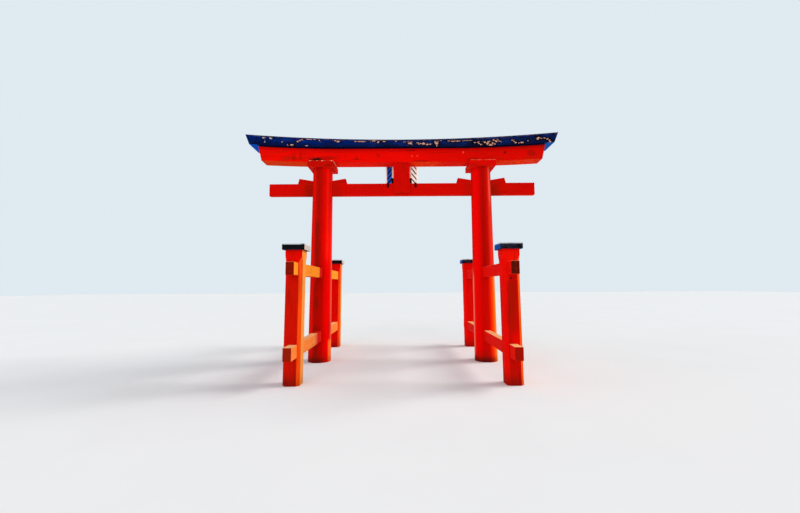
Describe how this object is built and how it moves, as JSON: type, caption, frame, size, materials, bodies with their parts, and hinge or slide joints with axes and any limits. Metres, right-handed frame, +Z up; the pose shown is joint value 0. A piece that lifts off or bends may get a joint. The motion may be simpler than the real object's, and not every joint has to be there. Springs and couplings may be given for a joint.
{
  "type": "four-post shrine gate",
  "caption": "Four-post shrine gate of red painted timber: leaning round pillars, braced support posts, wedged tie beam and upswept double lintel in dark blue, with a bare plaque",
  "frame": {"origin": "water line at the feet, centre of the bounding box", "axes": "X across the gate, Y from the land side to the lake side, Z up"},
  "size_m": [15.9476, 10.61, 11.5247],
  "materials": {
    "vermilion": "weathered vermilion paint on timber",
    "navy": "weathered dark blue-black paint on timber",
    "iron": "black painted iron",
    "cream": "cream paint with dark stripes"
  },
  "bodies": {
    "root": {"pillar_left": "vermilion", "pillar_right": "vermilion", "capital_left": "vermilion", "capital_right": "vermilion", "lower_lintel": "vermilion", "upper_lintel": "navy", "tie_beam": "vermilion", "wedge_left_outer": "vermilion", "wedge_left_inner": "vermilion", "wedge_right_inner": "vermilion", "wedge_right_outer": "vermilion", "centre_strut": "vermilion", "strut_shoes": "iron", "plaque_cleats": "vermilion", "plaque_panel": "vermilion", "plaque_frame_left": "cream", "plaque_frame_right": "cream", "plaque_frame_top": "cream", "plaque_frame_bottom": "cream", "plaque_strap_left": "iron", "plaque_strap_right": "iron", "post_front_left": "vermilion", "post_front_right": "vermilion", "post_back_left": "vermilion", "post_back_right": "vermilion", "cap_front_left": "navy", "cap_front_right": "navy", "cap_back_left": "navy", "cap_back_right": "navy", "brace_upper_left": "vermilion", "brace_upper_right": "vermilion", "brace_lower_left": "vermilion", "brace_lower_right": "vermilion"}
  },
  "joints": []
}
